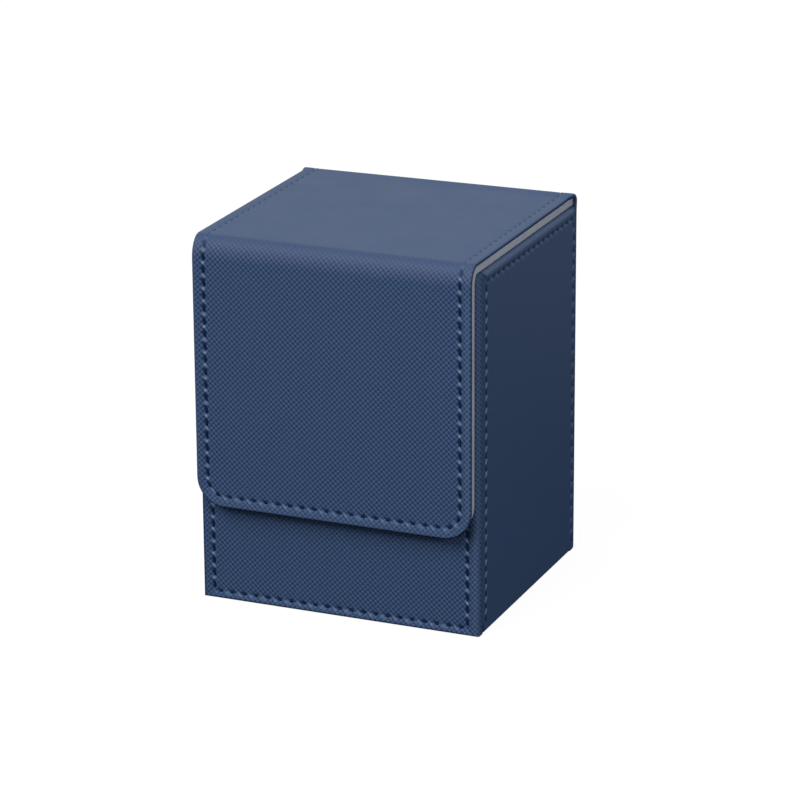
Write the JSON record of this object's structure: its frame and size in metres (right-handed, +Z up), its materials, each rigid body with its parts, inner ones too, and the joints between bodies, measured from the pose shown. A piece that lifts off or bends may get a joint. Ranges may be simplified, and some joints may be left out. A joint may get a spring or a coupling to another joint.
{
  "type": "card deck box",
  "caption": "Upright leatherette box for a deck of sleeved cards, with a stitched one-piece lid and front flap that folds over and is held shut by hidden magnets.",
  "frame": {"origin": "centre of the closed box's footprint, flap included, on the surface it stands on", "axes": "+Z up; -Y towards the front, where the flap is; X across the width"},
  "size_m": [0.08, 0.075, 0.102],
  "materials": {
    "leatherette": "matt navy leatherette, embossed with a fine diagonal cross-hatch",
    "lining": "brushed grey microfibre",
    "thread": "navy polyester thread",
    "greyboard": "uncoated greyboard",
    "magnet": "nickel-plated"
  },
  "bodies": {
    "box": {"base_cover": "leatherette", "base_board": "greyboard", "base_lining": "lining", "front_cover": "leatherette", "front_board": "greyboard", "front_lining": "lining", "front_stitching": "thread", "left_cover": "leatherette", "left_board": "greyboard", "left_lining": "lining", "left_stitching": "thread", "right_cover": "leatherette", "right_board": "greyboard", "right_lining": "lining", "right_stitching": "thread", "back_cover": "leatherette", "back_board": "greyboard", "back_lining": "lining", "back_stitching": "thread", "body_magnets": "magnet", "hinge_leather": "leatherette", "hinge_lining": "lining"},
    "lid": {"lid_cover": "leatherette", "lid_board": "greyboard", "lid_lining": "lining", "lid_stitching": "thread", "fold_leather": "leatherette", "fold_lining": "lining"},
    "flap": {"flap_cover": "leatherette", "flap_board": "greyboard", "flap_lining": "lining", "flap_magnets": "magnet", "flap_stitching": "thread"}
  },
  "joints": [
    {"name": "lid_hinge", "type": "hinge", "parent": "box", "child": "lid", "pos_m": [0, 0.036, 0.1005], "axis": [-1, 0, 0], "range_deg": [0, 175], "deforming": ["hinge_leather", "hinge_lining"]},
    {"name": "flap_fold", "type": "hinge", "parent": "lid", "child": "flap", "pos_m": [0, -0.03686, 0.10136], "axis": [-1, 0, 0], "range_deg": [0, 90], "deforming": ["fold_leather", "fold_lining"]}
  ]
}
